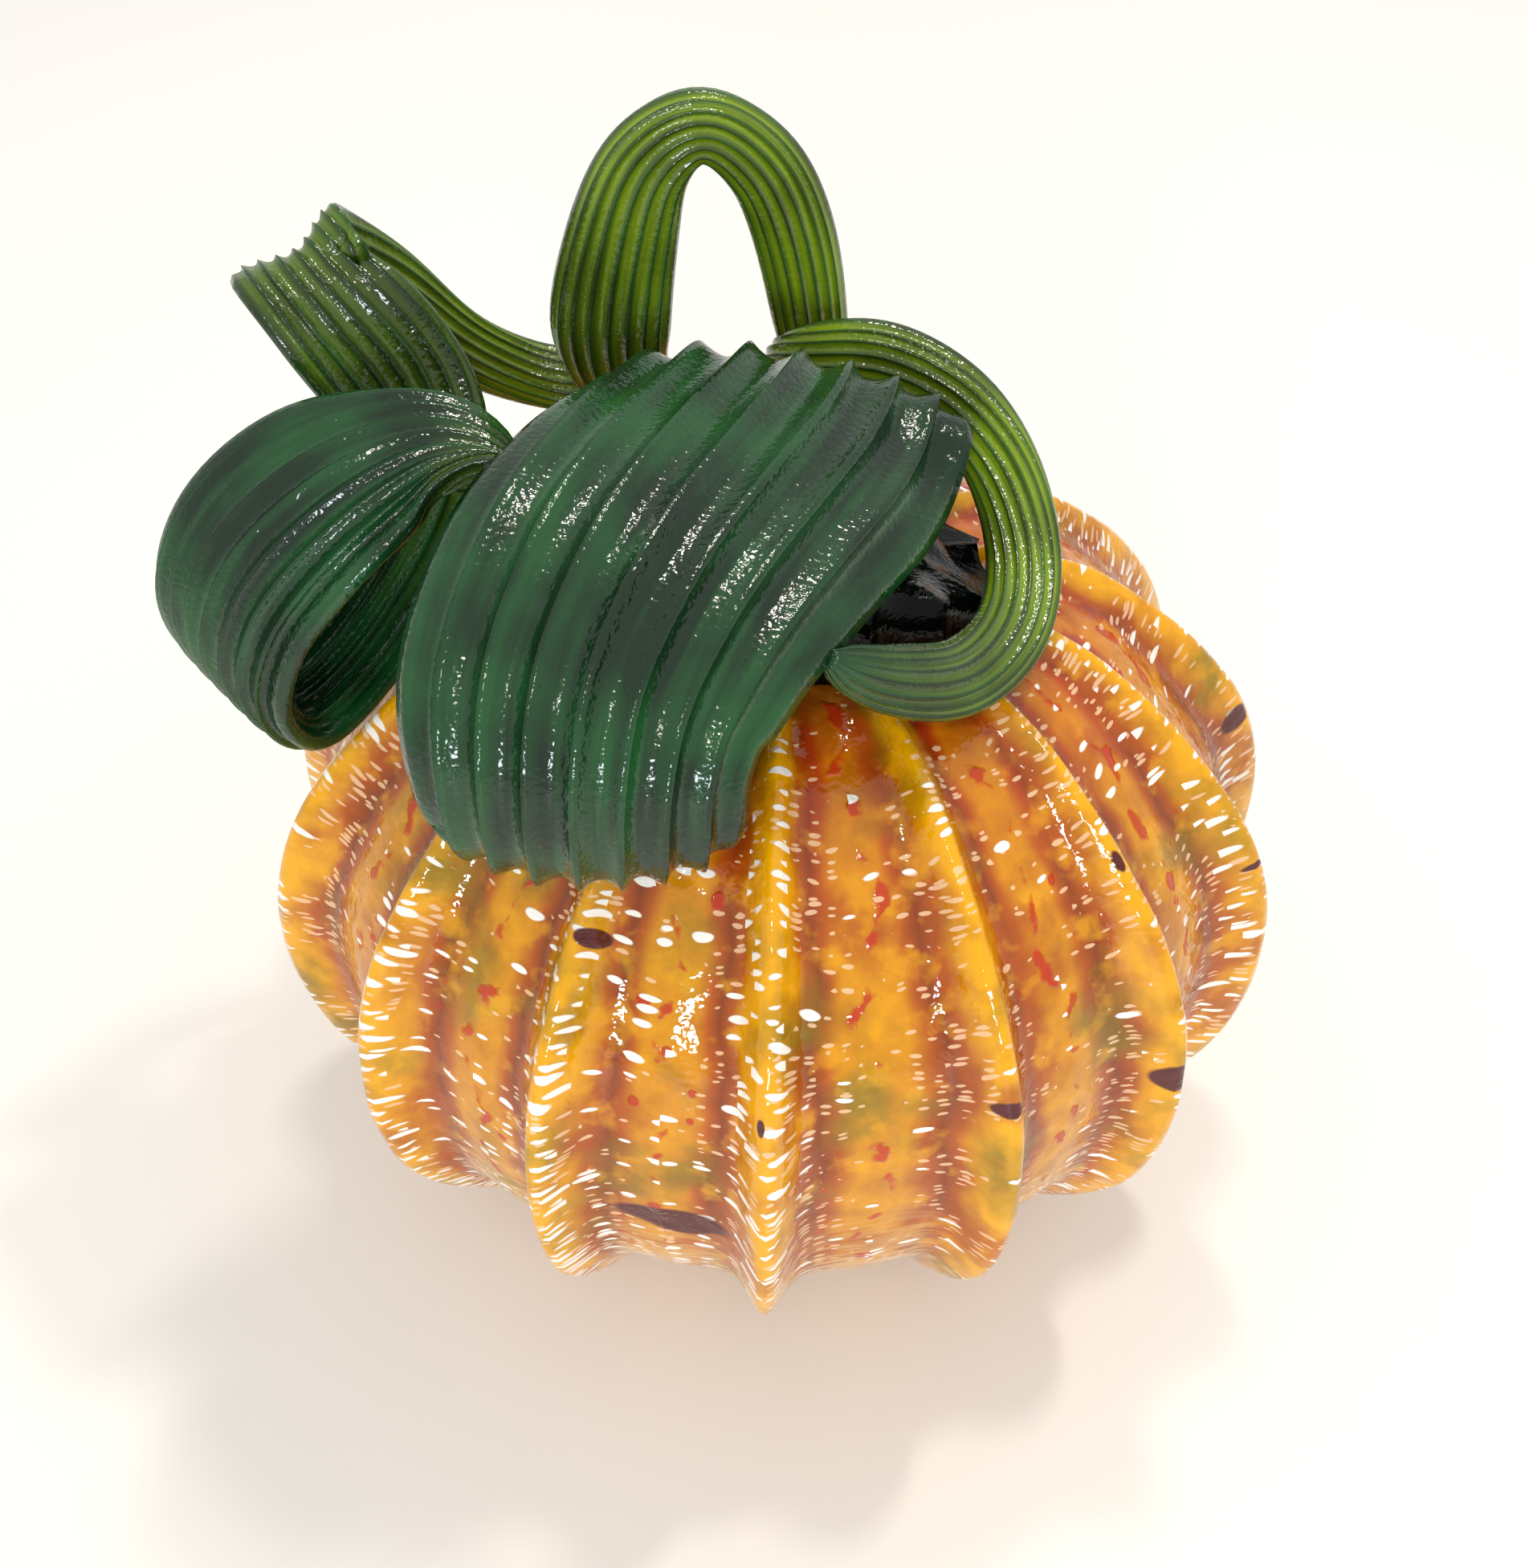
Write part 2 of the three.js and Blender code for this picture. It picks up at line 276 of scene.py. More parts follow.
def set_curve(made, points):
    """Puts points on the curve of a Float Curve node."""
    mapping = made.mapping
    mapping.use_clip = False
    curve = mapping.curves[0]
    while len(curve.points) < len(points):
        curve.points.new(0.5, 0.5)
    for spot, (x, y) in zip(curve.points, points):
        spot.location = (x, y)
        spot.handle_type = "AUTO_CLAMPED"
    mapping.update()


def set_ramp(made, stops):
    """Puts colours on a Color Ramp node: position and linear colour of each stop."""
    elements = made.color_ramp.elements
    while len(elements) < len(stops):
        elements.new(0.5)
    for element, (position, tint) in zip(elements, stops):
        element.position = position
        element.color = (*tint[:3], 1)


# ---- curves ---------------------------------------------------------------------------------------
def catmull_rom(rows, steps):
    """Points on the uniform Catmull-Rom curve through rows, with steps between each two."""
    rows = np.array(rows, float)
    padded = np.vstack([2 * rows[0] - rows[1], rows, 2 * rows[-1] - rows[-2]])
    spots = np.linspace(0, len(rows) - 1, (len(rows) - 1) * steps + 1)
    first = np.minimum(spots.astype(int), len(rows) - 2)
    u = (spots - first)[:, None]
    a, b, c, d = (padded[first + i] for i in range(4))
    return 0.5 * (2 * b + (c - a) * u + (2 * a - 5 * b + 4 * c - d) * u**2 + (3 * b - a - 3 * c + d) * u**3)


def eased(rows, passes):
    """Rows drawn towards the mean of their neighbours, that many times over."""
    for _ in range(passes):
        rows[1:-1] = (rows[:-2] + 2 * rows[1:-1] + rows[2:]) / 4
    return rows


def unit(vectors):
    return vectors / np.linalg.norm(vectors, axis=-1, keepdims=True)


# ---- body -----------------------------------------------------------------------------------------
def body_outline(settings):
    """The whole outline of the body's glass in mm, from the middle underneath, up the outside, through
    the pipe hole and down the inside: radius, height, flute depth, and the way out of the skin."""
    flat_rows, inner_floor_rows, outer_rows_to_one_inner = 8, 6, 4
    rim_height, cove_width = 0.5, 3
    steps = max(2, round(settings.rows / (len(CREST) - 1)))
    crest = catmull_rom(CREST, steps)
    way = unit(np.gradient(crest[:, :2], axis=0))
    out = np.stack([way[:, 1], -way[:, 0]], axis=1)
    flat = [(radius, 0, 0) for radius in np.linspace(0, crest[0, 0], flat_rows)[:-1]]
    inset = crest[:, 2] + settings.wall / MM
    inner = crest[:, :2] - inset[:, None] * out
    hole = crest[-1, 0]
    floor = settings.floor_wall / MM
    keep = (inner[:, 0] > hole) & (inner[:, 1] > floor)
    inner = inner[keep][::-outer_rows_to_one_inner]
    top = (hole, inner[0, 1] + rim_height)
    rows = [*flat, *crest, (*top, 0)]
    rows += [(radius, height, 0) for radius, height in inner]
    rows += [(radius, floor, 0) for radius in np.linspace(inner[-1, 0] - cove_width, 0, inner_floor_rows)]
    ways = np.zeros((len(rows), 2))
    ways[len(flat) : len(flat) + len(crest)] = out
    return np.array(rows, float), ways


def body_tree(columns):
    """Geometry Nodes that turn an outline round the axis and press the flutes between the ribs."""
    tree = bpy.data.node_groups.new("ribbed_blown_body", "GeometryNodeTree")
    sockets = {
        "Outline": "Geometry",
        "Ribs": "Int",
        "Columns": "Int",
        "Waviness": "Float",
        "Glass": "Material",
    }
    for name, kind in sockets.items():
        tree.interface.new_socket(name=name, in_out="INPUT", socket_type="NodeSocket" + kind)
    tree.interface.new_socket(name="Body", in_out="OUTPUT", socket_type="NodeSocketGeometry")
    given = tree.nodes.new("NodeGroupInput").outputs
    count = node(tree, "GeometryNodeAttributeDomainSize", {0: given["Outline"]}).outputs["Point Count"]
    around = node(tree, "ShaderNodeMath", {0: given["Ribs"], 1: given["Columns"]}, operation="MULTIPLY")
    verts = node(tree, "ShaderNodeMath", {0: around, 1: 1.0}, operation="ADD")
    size = {"Size X": 1.0, "Size Y": 1.0, "Vertices X": verts, "Vertices Y": count}
    grid = node(tree, "GeometryNodeMeshGrid", size)
    spot = node(tree, "ShaderNodeSeparateXYZ", {0: node(tree, "GeometryNodeInputPosition")}).outputs
    share = node(tree, "ShaderNodeMath", {0: spot["X"], 1: 0.5}, operation="ADD")
    up = node(tree, "ShaderNodeMath", {0: spot["Y"], 1: 0.5}, operation="ADD")
    last = node(tree, "ShaderNodeMath", {0: count, 1: 1.0}, operation="SUBTRACT")
    row = node(tree, "ShaderNodeMath", {0: up, 1: last}, operation="MULTIPLY")
    row = node(tree, "ShaderNodeMath", {0: row}, operation="ROUND")

    def from_outline(field, kind):
        inputs = {"Geometry": given["Outline"], "Value": field, "Index": row}
        return node(tree, "GeometryNodeSampleIndex", inputs, data_type=kind, domain="POINT")

    place = from_outline(node(tree, "GeometryNodeInputPosition").outputs[0], "FLOAT_VECTOR")
    place = node(tree, "ShaderNodeSeparateXYZ", {0: place}).outputs
    named = node(tree, "GeometryNodeInputNamedAttribute", {"Name": "out"}, data_type="FLOAT_VECTOR")
    way = node(tree, "ShaderNodeSeparateXYZ", {0: from_outline(named.outputs[0], "FLOAT_VECTOR")}).outputs
    named = node(tree, "GeometryNodeInputNamedAttribute", {"Name": "flute"}, data_type="FLOAT")
    flute = from_outline(named.outputs[0], "FLOAT")
    named = node(tree, "GeometryNodeInputNamedAttribute", {"Name": "along"}, data_type="FLOAT")
    along = from_outline(named.outputs[0], "FLOAT")

    ribs = node(tree, "ShaderNodeMath", {0: share, 1: given["Ribs"]}, operation="MULTIPLY")
    crest = node(tree, "ShaderNodeMath", {0: ribs, 1: 0.5}, operation="PINGPONG")
    crest = node(tree, "ShaderNodeMath", {0: crest, 1: 2.0}, operation="MULTIPLY")
    section = node(tree, "ShaderNodeFloatCurve", {"Value": crest})
    set_curve(section, RIB_SECTION)
    drift = node(tree, "ShaderNodeFloatCurve", {"Value": share})
    set_curve(drift, [(i / RIB_COUNT, RIB_DRIFT[i % RIB_COUNT] / DRIFT_UNIT) for i in range(RIB_COUNT + 1)])
    for point in drift.mapping.curves[0].points:
        point.handle_type = "VECTOR"
    drift.mapping.update()
    drift = node(tree, "ShaderNodeMath", {0: drift, 1: math.radians(DRIFT_UNIT)}, operation="MULTIPLY")
    turn = node(tree, "ShaderNodeMath", {0: share, 1: math.tau, 2: drift}, operation="MULTIPLY_ADD")

    press = node(tree, "ShaderNodeMath", {0: section, 1: flute}, operation="MULTIPLY")
    press = node(tree, "ShaderNodeMath", {0: press, 1: -1.0}, operation="MULTIPLY")
    inputs = {0: press, 1: way["X"], 2: place["X"]}
    radius = node(tree, "ShaderNodeMath", inputs, operation="MULTIPLY_ADD")
    inputs = {0: press, 1: way["Z"], 2: place["Z"]}
    height = node(tree, "ShaderNodeMath", inputs, operation="MULTIPLY_ADD")
    height = node(tree, "ShaderNodeMath", {0: height, 1: 0.0}, operation="MAXIMUM")
    sine = node(tree, "ShaderNodeMath", {0: turn}, operation="SINE")
    cosine = node(tree, "ShaderNodeMath", {0: turn}, operation="COSINE")
    x = node(tree, "ShaderNodeMath", {0: sine, 1: radius}, operation="MULTIPLY")
    y = node(tree, "ShaderNodeMath", {0: cosine, 1: radius}, operation="MULTIPLY")
    y = node(tree, "ShaderNodeMath", {0: y, 1: -1.0}, operation="MULTIPLY")
    moved = node(tree, "ShaderNodeCombineXYZ", {0: x, 1: y, 2: height})

    # Both attributes are stored while the grid is still flat, because their fields read its places. The
    # pattern is kept on face corners, so that it doesn't run backwards where the skin closes on itself.
    pattern = node(tree, "ShaderNodeCombineXYZ", {0: ribs, 1: along})
    stored = node(
        tree,
        "GeometryNodeStoreNamedAttribute",
        {"Geometry": grid.outputs["Mesh"], "Name": "pattern", "Value": pattern},
        data_type="FLOAT_VECTOR",
        domain="CORNER",
    )
    stored = node(
        tree,
        "GeometryNodeStoreNamedAttribute",
        {"Geometry": stored, "Name": "fluting", "Value": flute},
        data_type="FLOAT",
        domain="POINT",
    )
    shaped = node(tree, "GeometryNodeSetPosition", {"Geometry": stored, "Position": moved})
    welded = node(tree, "GeometryNodeMergeByDistance", {"Geometry": shaped, "Distance": WELD * MM})

    wave = node(tree, "ShaderNodeTexNoise", {"Scale": 1 / (9 * MM), "Detail": 2.0, "Roughness": 0.45})
    wave = node(tree, "ShaderNodeMath", {0: wave, 1: 0.5}, operation="SUBTRACT")
    fluting = node(tree, "GeometryNodeInputNamedAttribute", {"Name": "fluting"}, data_type="FLOAT")
    ease = node(tree, "ShaderNodeMapRange", {"Value": fluting, "From Max": 3 * MM})
    wave = node(tree, "ShaderNodeMath", {0: wave, 1: ease}, operation="MULTIPLY")
    wave = node(tree, "ShaderNodeMath", {0: wave, 1: given["Waviness"]}, operation="MULTIPLY")
    normal = node(tree, "GeometryNodeInputNormal")
    push = node(tree, "ShaderNodeVectorMath", {0: normal, "Scale": wave}, operation="SCALE")
    welded = node(tree, "GeometryNodeSetPosition", {"Geometry": welded, "Offset": push})
    smooth = node(tree, "GeometryNodeSetShadeSmooth", {"Geometry": welded})
    real = node(tree, "GeometryNodeRealizeInstances", {"Geometry": smooth})
    glazed = node(tree, "GeometryNodeSetMaterial", {"Geometry": real, "Material": given["Glass"]})
    node(tree, "NodeGroupOutput", {0: glazed})
    return tree


def solid_from(piece, tree, inputs):
    """Runs a Geometry Nodes tree on a piece and keeps the result as a plain mesh."""
    modifier = piece.modifiers.new("shape", "NODES")
    modifier.node_group = tree
    for item in tree.interface.items_tree:
        if item.item_type == "SOCKET" and item.name in inputs:
            modifier[item.identifier] = inputs[item.name]
    graph = bpy.context.evaluated_depsgraph_get()
    mesh = bpy.data.meshes.new_from_object(piece.evaluated_get(graph), depsgraph=graph)
    piece.modifiers.clear()
    piece.data = mesh


def signed_volume(mesh):
    """Positive where the faces of a closed mesh point out."""
    mesh.calc_loop_triangles()
    corners = np.array([v.co for v in mesh.vertices])
    a, b, c = (corners[[t.vertices[i] for t in mesh.loop_triangles]] for i in range(3))
    return float(np.einsum("ij,ij->i", a, np.cross(b, c)).sum() / 6)


def new_piece(name, mesh):
    piece = bpy.data.objects.new(name, mesh)
    bpy.context.scene.collection.objects.link(piece)
    return piece


def add_to_frame(piece, cad_node):
    """The piece stands for its CAD node, which it hides, and hangs from the root body."""
    if signed_volume(piece.data) <= 0:
        raise RuntimeError(piece.name + " is inside out")
    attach(piece, "root")
    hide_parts(cad_node)


class MakeBody(bpy.types.Operator):
    """Blows the ribbed body: one closed skin with the flutes outside and a smooth hollow inside"""

    bl_idname = "glass_pumpkin.make_body"
    bl_label = "Make body"

    def execute(self, context):
        settings = context.scene.glass_pumpkin_body
        rows, ways = body_outline(settings)
        outline = bpy.data.meshes.new("ribbed_body")
        corners = [(radius * MM, 0, height * MM) for radius, height, _ in rows]
        outline.from_pydata(corners, [(i, i + 1) for i in range(len(corners) - 1)], [])
        flute = outline.attributes.new("flute", "FLOAT", "POINT")
        flute.data.foreach_set("value", rows[:, 2] * MM)
        steps = np.linalg.norm(np.diff(rows[:, :2], axis=0), axis=1)
        along = outline.attributes.new("along", "FLOAT", "POINT")
        along.data.foreach_set("value", np.concatenate([[0], np.cumsum(steps)]) * MM)
        out = outline.attributes.new("out", "FLOAT_VECTOR", "POINT")
        out.data.foreach_set("vector", np.insert(ways, 1, 0, axis=1).ravel())
        piece = new_piece("ribbed_body", outline)
        glass = amber_glass(settings)
        tree = body_tree(settings.columns)
        sizes = {"Ribs": RIB_COUNT, "Columns": settings.columns, "Waviness": settings.waviness}
        solid_from(piece, tree, {**sizes, "Glass": glass})
        add_to_frame(piece, "blown_body")
        return {"FINISHED"}


# ---- stem -----------------------------------------------------------------------------------------
def body_top(points):
    """Height in mm of the body's top under points in mm, ribs and all."""
    crest = catmull_rom(CREST, 12)
    way = unit(np.gradient(crest[:, :2], axis=0))
    out = np.stack([way[:, 1], -way[:, 0]], axis=1)
    turn = np.degrees(np.arctan2(points[:, 0], -points[:, 1])) % 360
    edges = np.arange(RIB_COUNT + 1) * 360 / RIB_COUNT + np.array([*RIB_DRIFT, RIB_DRIFT[0]])
    phase = np.interp(turn, edges, np.arange(RIB_COUNT + 1))
    from_crest = 2 * np.abs(phase - np.round(phase))
    share = np.interp(from_crest, *zip(*RIB_SECTION))
    radius = np.hypot(points[:, 0], points[:, 1])
    top = crest[:, 1] > 60
    heights = []
    for r, s in zip(radius, share):
        skin = crest[top, :2] - (s * crest[top, 2])[:, None] * out[top]
        heights.append(np.interp(r, skin[::-1, 0], skin[::-1, 1]))
    return np.array(heights)


def stem_rings(settings):
    """Rings of points down the stem in mm, with the rib phase and how far along each ring is."""
    centres = eased(catmull_rom([row[0] for row in STEM], settings.rows), CENTRE_PASSES)
    ways = eased(catmull_rom([row[1] for row in STEM], settings.rows), WAY_PASSES)
    halves = catmull_rom([row[2:4] for row in STEM], settings.rows) / 2
    bend = catmull_rom([(row[4:] or (0,)) for row in STEM], settings.rows)
    along = unit(np.gradient(centres, axis=0))
    across = unit(ways - (ways * along).sum(axis=1, keepdims=True) * along)
    out = np.cross(along, across)
    # A round section is an ellipse, and a flat one has blunter edges and evenly spaced ribs.
    flatness = 1 - np.minimum(halves[:, 1] / halves[:, 0], 1)
    power = 2 + BLUNTNESS * flatness
    spots = np.arange(settings.ribs * settings.columns) / (settings.ribs * settings.columns)
    turn = 2 * spots
    side = np.where(turn < 1, 1, -1)
    even = side * (1 - 2 * (turn % 1))
    reach = np.cos(turn * math.pi) + (even - np.cos(turn * math.pi)) * flatness[:, None]
    up = side * (1 - np.minimum(np.abs(reach), 1) ** power[:, None]) ** (1 / power[:, None])
    phase = spots * settings.ribs % 1
    tip = (2 * phase - 1) ** 2
    inset = settings.rib_depth * 2 * halves[:, :1] * (1 - tip)
    x = reach * (halves[:, :1] - inset)
    y = up * (halves[:, 1:] - inset) - bend * halves[:, :1] * reach**2
    rings = centres[:, None] + x[..., None] * across[:, None] + y[..., None] * out[:, None]
    return rings, tip, halves


class MakeStem(bpy.types.Operator):
    """Draws the ribbed stem: a seat on the body, a wide fold, a loop, a curl, a tall arch and a loop"""

    bl_idname = "glass_pumpkin.make_stem"
    bl_label = "Make stem"

    def execute(self, context):
        settings = context.scene.glass_pumpkin_stem
        rings, tip, halves = stem_rings(settings)
        gap = settings.seat_gap / MM
        foot = rings[0].copy()
        foot[:, 2] = body_top(foot) + gap
        under = []
        for share in SEAT_ROWS:
            ring = foot * (share, share, 1)
            ring[:, 2] = body_top(ring) + gap
            under.append(ring)
        for ring in rings[: settings.rows]:
            ring[:, 2] = np.maximum(ring[:, 2], body_top(ring) + gap)
        rings = np.concatenate([np.array(under), rings])
        rings[len(under), :, 2] = foot[:, 2]
        size = rings.shape[1]
        count = len(rings)
        index = np.arange(count * size).reshape(count, size)
        here, beside = index[:-1], np.roll(index, -1, axis=1)[:-1]
        above, across = index[1:], np.roll(index, -1, axis=1)[1:]
        faces = np.stack([here, beside, across, above], axis=-1).reshape(-1, 4).tolist()
        faces.append(index[0][::-1].tolist())
        faces.append(index[-1].tolist())
        mesh = bpy.data.meshes.new("curled_stem")
        mesh.from_pydata((rings.reshape(-1, 3) * MM).tolist(), [], faces)
        steps = np.linalg.norm(np.diff(rings.mean(axis=1), axis=0), axis=1)
        along = np.concatenate([[0], np.cumsum(steps)]) * MM
        turns = np.arange(size + 1) / settings.columns
        corner = np.zeros((count - 1, size, 4, 3))
        corner[..., 0] = np.stack([turns[:-1], turns[1:], turns[1:], turns[:-1]], axis=-1)
        corner[..., 1] = np.stack([along[:-1], along[:-1], along[1:], along[1:]], axis=-1)[:, None]
        pattern = mesh.attributes.new("pattern", "FLOAT_VECTOR", "CORNER")
        ends = np.zeros(2 * size * 3)
        pattern.data.foreach_set("vector", np.concatenate([corner.ravel(), ends]))
        rib = mesh.attributes.new("rib", "FLOAT", "POINT")
        rib.data.foreach_set("value", np.tile(tip, count))
        # Painted glow: how much light seems to come through where the rod is drawn thin, fading out near
        # the tip.
        drawn = mesh.attributes.new("drawn", "FLOAT", "POINT")
        width = np.concatenate([np.full(len(under), halves[0, 0]), halves[:, 0]])
        from_end = (along[-1] - along) / (DARK_END * MM)
        thin = np.clip((OPAQUE_HALF - width) / (OPAQUE_HALF - CLEAR_HALF), 0, 1) * np.clip(from_end, 0, 1)
        drawn.data.foreach_set("value", np.repeat(thin, size))
        # Thick glass is darker, and the same share paints shade on the trunk and seat under the fold.
        thick = mesh.attributes.new("thick", "FLOAT", "POINT")
        depth = np.concatenate([np.full(len(under), halves[0, 1]), halves[:, 1]])
        dark = np.clip((depth - DARK_FROM) / (BLACK_FROM - DARK_FROM), 0, 1)
        thick.data.foreach_set("value", np.repeat(dark, size))
        mesh.shade_smooth()
        mesh.materials.append(green_glass(settings))
        piece = new_piece("curled_stem", mesh)
        add_to_frame(piece, "drawn_stem")
        return {"FINISHED"}


# ---- materials ------------------------------------------------------------------------------------
def new_material(name):
    material = bpy.data.materials.new(name)
    material.use_nodes = True
    material.node_tree.nodes.clear()
    return material, material.node_tree


def tinted(tree, share, below, above):
    """Lays one colour over another where share is 1. Either may be a colour or a socket."""
    below, above = (one if isinstance(one, bpy.types.NodeSocket) else (*one, 1) for one in (below, above))
    mixed = node(tree, "ShaderNodeMix", {0: share, 6: below, 7: above}, data_type="RGBA")
    return mixed.outputs[2]


def scattered(tree, place, cell, size, share):
    """Ovals strewn over a place in mm: one in each cell (length, height), of which a share are there."""
    to_cells = (1 / cell[0], 1 / cell[1], 1)
    scaled = node(tree, "ShaderNodeVectorMath", {0: place, 1: to_cells}, operation="MULTIPLY")
    scatter = {"Vector": scaled, "Scale": 1.0, "Randomness": 0.72}
    cells = node(tree, "ShaderNodeTexVoronoi", scatter, voronoi_dimensions="2D")
    pick = node(tree, "ShaderNodeSeparateColor", {0: cells.outputs["Color"]}).outputs
    # Each oval has a size of its own, from half to the whole of the size asked for.
    inputs = {0: pick["Green"], 1: size / 2, 2: size / 2}
    own = node(tree, "ShaderNodeMath", inputs, operation="MULTIPLY_ADD")
    inside = node(tree, "ShaderNodeMath", {0: own, 1: cells.outputs["Distance"]}, operation="SUBTRACT")
    oval = node(tree, "ShaderNodeMapRange", {"Value": inside, "From Max": 0.06})
    there = node(tree, "ShaderNodeMath", {0: pick["Red"], 1: share}, operation="LESS_THAN")
    return node(tree, "ShaderNodeMath", {0: oval, 1: there}, operation="MULTIPLY").outputs[0]


def amber_glass(settings):
    """Soda-lime art glass, gathered over orange, red and white frit, blown in a ribbed mould and
    fire-polished: clear yellow where a rib is thin, browner down its sides, and glossy all over. Blowing
    has drawn the frit out sideways, and the softer red glass ran down the valleys."""
    material, tree = new_material("soda_lime_amber_frit_glass")
    place = node(tree, "ShaderNodeTexCoord").outputs["Object"]
    pattern = node(tree, "ShaderNodeAttribute", attribute_name="pattern").outputs["Vector"]
    pattern = node(tree, "ShaderNodeSeparateXYZ", {0: pattern}).outputs
    rib = pattern["X"]
    along = node(tree, "ShaderNodeMath", {0: pattern["Y"], 1: 1 / MM}, operation="MULTIPLY")

    level = node(tree, "ShaderNodeVectorMath", {0: place, 1: (1, 1, 0)}, operation="MULTIPLY")
    radius = node(tree, "ShaderNodeVectorMath", {0: level}, operation="LENGTH").outputs["Value"]
    pitch = node(tree, "ShaderNodeMath", {0: radius, 1: math.tau / RIB_COUNT / MM}, operation="MULTIPLY")
    wander = node(tree, "ShaderNodeTexNoise", {"Vector": place, "Scale": 1 / (11 * MM), "Detail": 2.0})
    wander = node(tree, "ShaderNodeMath", {0: wander, 1: 0.5}, operation="SUBTRACT")

    # Places in mm from the nearest crest and from the nearest valley, with the rows set apart by rib.
    def beside(nearest, offset, apart):
        here = node(tree, "ShaderNodeMath", {0: rib, 1: nearest}, operation="SUBTRACT")
        here = node(tree, "ShaderNodeMath", {0: here, 1: offset}, operation="SUBTRACT")
        across = node(tree, "ShaderNodeMath", {0: here, 1: pitch}, operation="MULTIPLY")
        number = node(tree, "ShaderNodeMath", {0: nearest, 1: float(RIB_COUNT)}, operation="MODULO")
        row = node(tree, "ShaderNodeMath", {0: number, 1: apart, 2: along}, operation="MULTIPLY_ADD")
        row = node(tree, "ShaderNodeMath", {0: wander, 1: 5.0, 2: row}, operation="MULTIPLY_ADD")
        return here, across, node(tree, "ShaderNodeCombineXYZ", {0: across, 1: row}).outputs[0]

    crest_rib = node(tree, "ShaderNodeMath", {0: rib}, operation="ROUND")
    valley_rib = node(tree, "ShaderNodeMath", {0: rib}, operation="FLOOR")
    off_crest, _, by_crest = beside(crest_rib, 0.0, 211.0)
    _, across_valley, by_valley = beside(valley_rib, 0.5, 307.0)
    half = node(tree, "ShaderNodeMath", {0: off_crest}, operation="ABSOLUTE")
    from_crest = node(tree, "ShaderNodeMath", {0: half, 1: 2.0}, operation="MULTIPLY")

    # Colour from the crest to the middle of the valley.
    shifted = node(tree, "ShaderNodeMath", {0: wander, 1: 0.5, 2: from_crest}, operation="MULTIPLY_ADD")
    ramp = node(tree, "ShaderNodeValToRGB", {0: shifted})
    stops = ((0.1, "crest"), (0.2, "gold"), (0.3, "flank"), (0.46, "foot"), (0.6, "flank"), (0.76, "gold"))
    set_ramp(ramp, [(spot, getattr(settings, name)) for spot, name in stops])
    tint = ramp.outputs[0]

    # Olive and orange patches as big as a fingertip.
    patches = node(tree, "ShaderNodeTexNoise", {"Vector": place, "Scale": 1 / (13 * MM), "Detail": 4.0})
    olive = {"Value": patches, "From Min": 0.54, "From Max": 0.68, "To Max": 0.8}
    olive = node(tree, "ShaderNodeMapRange", olive)
    tint = tinted(tree, olive.outputs[0], tint, settings.olive)
    inputs = {"Value": patches, "From Min": 0.47, "From Max": 0.36, "To Max": 0.75}
    orange = node(tree, "ShaderNodeMapRange", inputs)
    tint = tinted(tree, orange.outputs[0], tint, settings.flank)

    # Brown and clear mottling, 4 mm across.
    mottle = node(tree, "ShaderNodeTexNoise", {"Vector": place, "Scale": 1 / (4 * MM), "Detail": 3.0})
    inputs = {"Value": mottle, "From Min": 0.5, "From Max": 0.75, "To Max": 0.4}
    browner = node(tree, "ShaderNodeMapRange", inputs)
    tint = tinted(tree, browner.outputs[0], tint, settings.foot)
    inputs = {"Value": mottle, "From Min": 0.46, "From Max": 0.3, "To Max": 0.6}
    clearer = node(tree, "ShaderNodeMapRange", inputs)
    tint = tinted(tree, clearer.outputs[0], tint, settings.crest)

    # Low in the valleys, pale glass drawn out sideways in fine level streaks.
    inputs = {0: by_valley, 1: (1 / 9, 1 / 0.8, 1)}
    fine = node(tree, "ShaderNodeVectorMath", inputs, operation="MULTIPLY")
    inputs = {"Vector": fine, "Scale": 1.0, "Detail": 2.0}
    fine = node(tree, "ShaderNodeTexNoise", inputs, noise_dimensions="2D")
    low = node(tree, "ShaderNodeMapRange", {"Value": along, "From Min": 86.0, "From Max": 62.0})
    deep = node(tree, "ShaderNodeMapRange", {"Value": from_crest, "From Min": 0.3, "From Max": 0.5})
    low_valley = node(tree, "ShaderNodeMath", {0: low, 1: deep}, operation="MULTIPLY")
    drawn = node(tree, "ShaderNodeMapRange", {"Value": fine, "From Min": 0.38, "From Max": 0.58})
    drawn = node(tree, "ShaderNodeMath", {0: drawn, 1: low_valley}, operation="MULTIPLY")
    tint = tinted(tree, drawn.outputs[0], tint, settings.cream)

